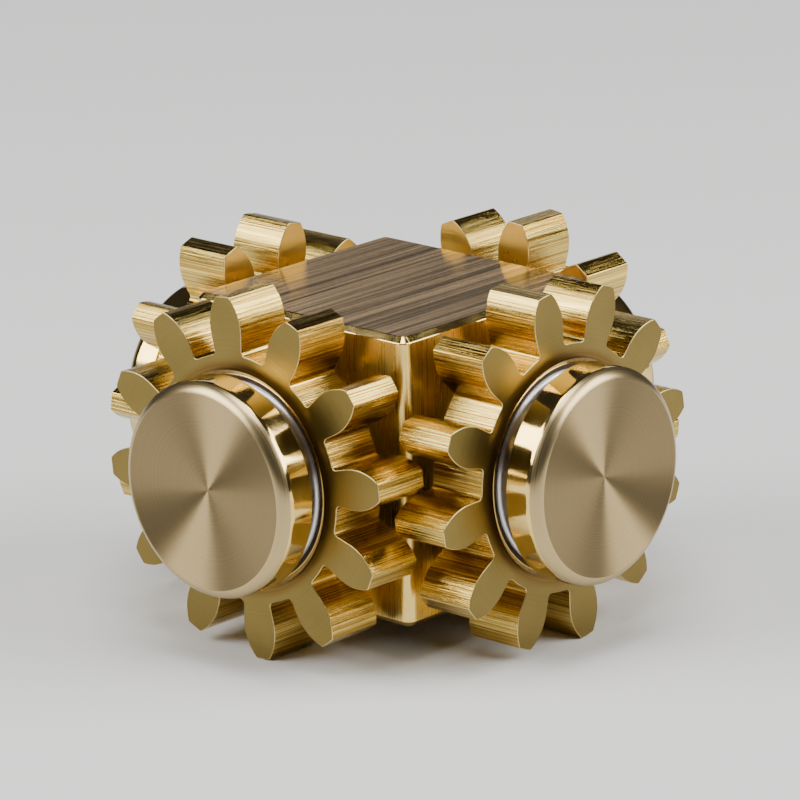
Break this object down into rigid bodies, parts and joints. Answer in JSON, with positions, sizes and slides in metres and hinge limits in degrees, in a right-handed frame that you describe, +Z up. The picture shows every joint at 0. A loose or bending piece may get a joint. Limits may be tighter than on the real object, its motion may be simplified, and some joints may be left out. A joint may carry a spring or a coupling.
{
  "type": "geared desk cube",
  "caption": "Square block with meshing spur gears on ball bearings round its sides, each under a dished round button.",
  "frame": {"origin": "middle of the rectangle that the object covers, on the surface that it stands on", "axes": "+Z up along the block's upright axis; +X and +Y along the gears' axles"},
  "size_m": [0.0338, 0.0338, 0.0219],
  "materials": {
    "polished_brass": "polished, fine milling lines on the tooth flanks",
    "brushed_brass": "brushed along the block's top and bottom, polished sides",
    "turned_brass": "fine concentric turning lines in the dish, polished side",
    "bearing_steel": "ground and polished",
    "cage_steel": "pressed, dull"
  },
  "bodies": {
    "body": {"block": "brushed_brass", "inner_ring_right": "bearing_steel", "spacer_right": "polished_brass", "button_right": "turned_brass", "inner_ring_back": "bearing_steel", "spacer_back": "polished_brass", "button_back": "turned_brass", "inner_ring_left": "bearing_steel", "spacer_left": "polished_brass", "button_left": "turned_brass", "inner_ring_front": "bearing_steel", "spacer_front": "polished_brass", "button_front": "turned_brass"},
    "gear_right": {"gear_right": "polished_brass", "outer_ring_right": "bearing_steel"},
    "cage_right": {"ball_cage_right": "cage_steel", "balls_right": "bearing_steel"},
    "gear_back": {"gear_back": "polished_brass", "outer_ring_back": "bearing_steel"},
    "cage_back": {"ball_cage_back": "cage_steel", "balls_back": "bearing_steel"},
    "gear_left": {"gear_left": "polished_brass", "outer_ring_left": "bearing_steel"},
    "cage_left": {"ball_cage_left": "cage_steel", "balls_left": "bearing_steel"},
    "gear_front": {"gear_front": "polished_brass", "outer_ring_front": "bearing_steel"},
    "cage_front": {"ball_cage_front": "cage_steel", "balls_front": "bearing_steel"}
  },
  "joints": [
    {"name": "gear_right_spin", "type": "hinge", "parent": "body", "child": "gear_right", "pos_m": [0, 0, 0.01097], "axis": [1, 0, 0], "continuous": true},
    {"name": "gear_back_spin", "type": "hinge", "parent": "body", "child": "gear_back", "pos_m": [0, 0, 0.01097], "axis": [0, 1, 0], "continuous": true},
    {"name": "gear_left_spin", "type": "hinge", "parent": "body", "child": "gear_left", "pos_m": [0, 0, 0.01097], "axis": [-1, 0, 0], "continuous": true},
    {"name": "gear_front_spin", "type": "hinge", "parent": "body", "child": "gear_front", "pos_m": [0, 0, 0.01097], "axis": [0, -1, 0], "continuous": true},
    {"name": "cage_right_spin", "type": "hinge", "parent": "body", "child": "cage_right", "pos_m": [0, 0, 0.01097], "axis": [1, 0, 0], "continuous": true},
    {"name": "cage_back_spin", "type": "hinge", "parent": "body", "child": "cage_back", "pos_m": [0, 0, 0.01097], "axis": [0, 1, 0], "continuous": true},
    {"name": "cage_left_spin", "type": "hinge", "parent": "body", "child": "cage_left", "pos_m": [0, 0, 0.01097], "axis": [-1, 0, 0], "continuous": true},
    {"name": "cage_front_spin", "type": "hinge", "parent": "body", "child": "cage_front", "pos_m": [0, 0, 0.01097], "axis": [0, -1, 0], "continuous": true}
  ],
  "couplings": [
    {"joint": "gear_back_spin", "follows": "gear_right_spin", "ratio": -1},
    {"joint": "gear_left_spin", "follows": "gear_right_spin", "ratio": 1},
    {"joint": "gear_front_spin", "follows": "gear_right_spin", "ratio": -1},
    {"joint": "cage_right_spin", "follows": "gear_right_spin", "ratio": 0.58333},
    {"joint": "cage_back_spin", "follows": "gear_right_spin", "ratio": -0.58333},
    {"joint": "cage_left_spin", "follows": "gear_right_spin", "ratio": 0.58333},
    {"joint": "cage_front_spin", "follows": "gear_right_spin", "ratio": -0.58333}
  ]
}
